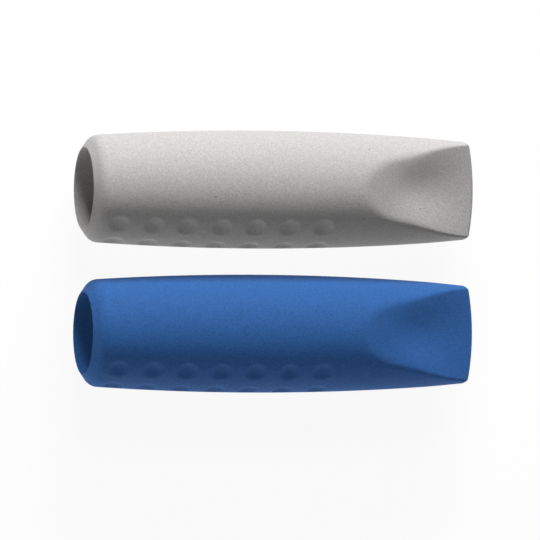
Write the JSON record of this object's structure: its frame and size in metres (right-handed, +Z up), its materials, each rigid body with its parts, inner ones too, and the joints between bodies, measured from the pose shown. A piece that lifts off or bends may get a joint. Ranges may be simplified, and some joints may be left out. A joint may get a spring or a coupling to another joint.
{
  "type": "pencil eraser topper",
  "caption": "Slip-on rubber eraser toppers for pencils: barrelled caps with a blind round bore, rows of shallow grip dimples and a blunt chisel end with thumb hollows.",
  "frame": {"origin": "middle of the pair, on the surface that the toppers lie on", "axes": "+X along the toppers from their open mouths to their chisel edges, +Y from the blue topper to the grey one, +Z up out of the chisels' upper faces"},
  "size_m": [0.04, 0.0262, 0.0118],
  "materials": {
    "grey_rubber": "matte, fine moulded grain",
    "blue_rubber": "matte, fine moulded grain"
  },
  "bodies": {
    "grey": {"grey_topper": "grey_rubber"},
    "blue": {"blue_topper": "blue_rubber"}
  },
  "joints": [
    {"name": "blue_topper_slide", "type": "slide", "parent": "grey", "child": "blue", "axis": [1, 0, 0], "range_m": [0, 0.045]}
  ]
}
